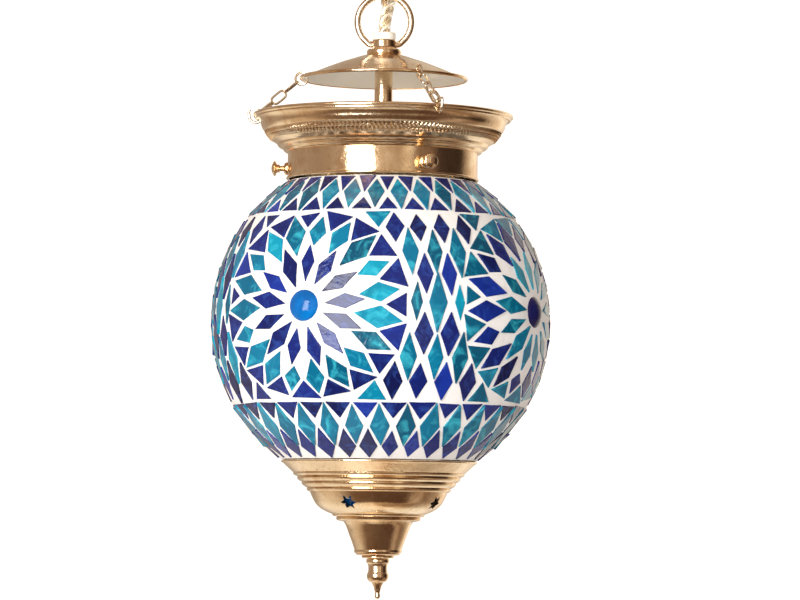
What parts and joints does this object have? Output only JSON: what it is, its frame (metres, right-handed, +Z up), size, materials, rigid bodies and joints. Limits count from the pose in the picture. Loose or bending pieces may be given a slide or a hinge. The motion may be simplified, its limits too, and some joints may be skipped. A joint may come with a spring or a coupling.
{
  "type": "mosaic glass hanging lamp",
  "caption": "Glass mosaic globe in a chained brass gallery under a smoke bell, hung by a ring from a ceiling hook and canopy, with a spun cup and finial below.",
  "frame": {"origin": "centre of the two ceiling screws, on the ceiling face at the top of the lamp", "axes": "+Z up out of the ceiling face, front of the lamp towards -Y, +X to the right seen from the front"},
  "size_m": [0.1798, 0.1798, 0.3637],
  "materials": {
    "brass": "polished",
    "plated_steel": "zinc plated",
    "ivory_plastic": "moulded",
    "cord_sheath": "clear PVC over twisted golden strands",
    "black_phenolic": "moulded",
    "white_ceramic": "glazed",
    "black_rubber": "matt",
    "bulb_metal": "rolled thread",
    "bulb_frosted": "frosted",
    "blown_glass": "clear",
    "white_grout": "fine, matt",
    "cobalt_glass": "glossy, slightly uneven",
    "turquoise_glass": "glossy, slightly uneven",
    "cabochon_glass": "glossy dome",
    "star_glass": "glossy"
  },
  "bodies": {
    "ceiling_fitting": {"ceiling_plate": "plated_steel", "canopy_cup": "brass", "ceiling_hook": "brass", "canopy_nut": "brass", "canopy_bush": "ivory_plastic", "terminal_block": "ivory_plastic", "flex_cord": "cord_sheath"},
    "hanging_ring": {"hanging_ring": "brass"},
    "lamp_frame": {"loop_hub": "brass", "hub_bush": "ivory_plastic", "smoke_bell": "brass", "bell_washer": "plated_steel", "bell_nut": "brass", "stem_tube": "brass", "stem_cord": "cord_sheath", "holder_cap": "black_phenolic", "holder_shell": "black_phenolic", "holder_insert": "white_ceramic", "bulb_cap": "bulb_metal", "bulb_glass": "bulb_frosted"},
    "globe_assembly": {"gallery": "brass", "neck_gasket": "black_rubber", "glass_globe": "blown_glass", "grout_layer": "white_grout", "cobalt_tiles": "cobalt_glass", "turquoise_tiles": "turquoise_glass", "cabochons": "cabochon_glass", "base_cup": "brass", "star_glass": "star_glass", "rod_washer": "black_rubber", "rod_nut": "plated_steel", "finial_rod": "plated_steel", "finial_disc": "brass", "finial": "brass"},
    "chain_1": {"jump_ring_1": "brass", "chain_links_1": "brass", "rim_hook_1": "brass"},
    "screw_shank_1": {"thumb_shank_1": "brass"},
    "screw_head_1": {"thumb_head_1": "brass"},
    "chain_2": {"jump_ring_2": "brass", "chain_links_2": "brass", "rim_hook_2": "brass"},
    "screw_shank_2": {"thumb_shank_2": "brass"},
    "screw_head_2": {"thumb_head_2": "brass"},
    "chain_3": {"jump_ring_3": "brass", "chain_links_3": "brass", "rim_hook_3": "brass"},
    "screw_shank_3": {"thumb_shank_3": "brass"},
    "screw_head_3": {"thumb_head_3": "brass"}
  },
  "joints": [
    {"name": "ring_swing", "type": "hinge", "parent": "ceiling_fitting", "child": "hanging_ring", "pos_m": [0, 0, -0.0484], "axis": [0, 1, 0], "range_deg": [-10, 10], "deforming": ["flex_cord"]},
    {"name": "lamp_swing", "type": "hinge", "parent": "hanging_ring", "child": "lamp_frame", "pos_m": [0, 0, -0.0708], "axis": [1, 0, 0], "range_deg": [-8, 8]},
    {"name": "globe_twist", "type": "hinge", "parent": "lamp_frame", "child": "globe_assembly", "pos_m": [0, 0, -0.218], "axis": [0, 0, 1], "range_deg": [-4, 4]},
    {"name": "chain_swing_1", "type": "hinge", "parent": "lamp_frame", "child": "chain_1", "pos_m": [0.01712, -0.03671, -0.08787], "axis": [0.2919, -0.6259, 0.7232], "range_deg": [-8, 8]},
    {"name": "chain_swing_2", "type": "hinge", "parent": "lamp_frame", "child": "chain_2", "pos_m": [0.02323, 0.03318, -0.08787], "axis": [0.3961, 0.5657, 0.7232], "range_deg": [-8, 8]},
    {"name": "chain_swing_3", "type": "hinge", "parent": "lamp_frame", "child": "chain_3", "pos_m": [-0.04035, 0.00353, -0.08787], "axis": [-0.688, 0.0602, 0.7232], "range_deg": [-8, 8]},
    {"name": "thumb_slide_1", "type": "slide", "parent": "globe_assembly", "child": "screw_shank_1", "axis": [0.4384, -0.8988, 0], "range_m": [0, 0.0028]},
    {"name": "thumb_turn_1", "type": "hinge", "parent": "screw_shank_1", "child": "screw_head_1", "pos_m": [0.02394, -0.04907, -0.137], "axis": [0.4384, -0.8988, 0], "range_deg": [0, 1440]},
    {"name": "thumb_slide_2", "type": "slide", "parent": "globe_assembly", "child": "screw_shank_2", "axis": [0.5592, 0.829, 0], "range_m": [0, 0.0028]},
    {"name": "thumb_turn_2", "type": "hinge", "parent": "screw_shank_2", "child": "screw_head_2", "pos_m": [0.03053, 0.04526, -0.137], "axis": [0.5592, 0.829, 0], "range_deg": [0, 1440]},
    {"name": "thumb_slide_3", "type": "slide", "parent": "globe_assembly", "child": "screw_shank_3", "axis": [-0.9976, 0.0698, 0], "range_m": [0, 0.0028]},
    {"name": "thumb_turn_3", "type": "hinge", "parent": "screw_shank_3", "child": "screw_head_3", "pos_m": [-0.05447, 0.00381, -0.137], "axis": [-0.9976, 0.0698, 0], "range_deg": [0, 1440]}
  ],
  "couplings": [
    {"joint": "chain_swing_1", "follows": "globe_twist", "ratio": 1.8967},
    {"joint": "chain_swing_2", "follows": "globe_twist", "ratio": 1.8967},
    {"joint": "chain_swing_3", "follows": "globe_twist", "ratio": 1.8967},
    {"joint": "thumb_turn_1", "follows": "thumb_slide_1", "rad_per_m": 8976},
    {"joint": "thumb_turn_2", "follows": "thumb_slide_2", "rad_per_m": 8976},
    {"joint": "thumb_turn_3", "follows": "thumb_slide_3", "rad_per_m": 8976}
  ]
}
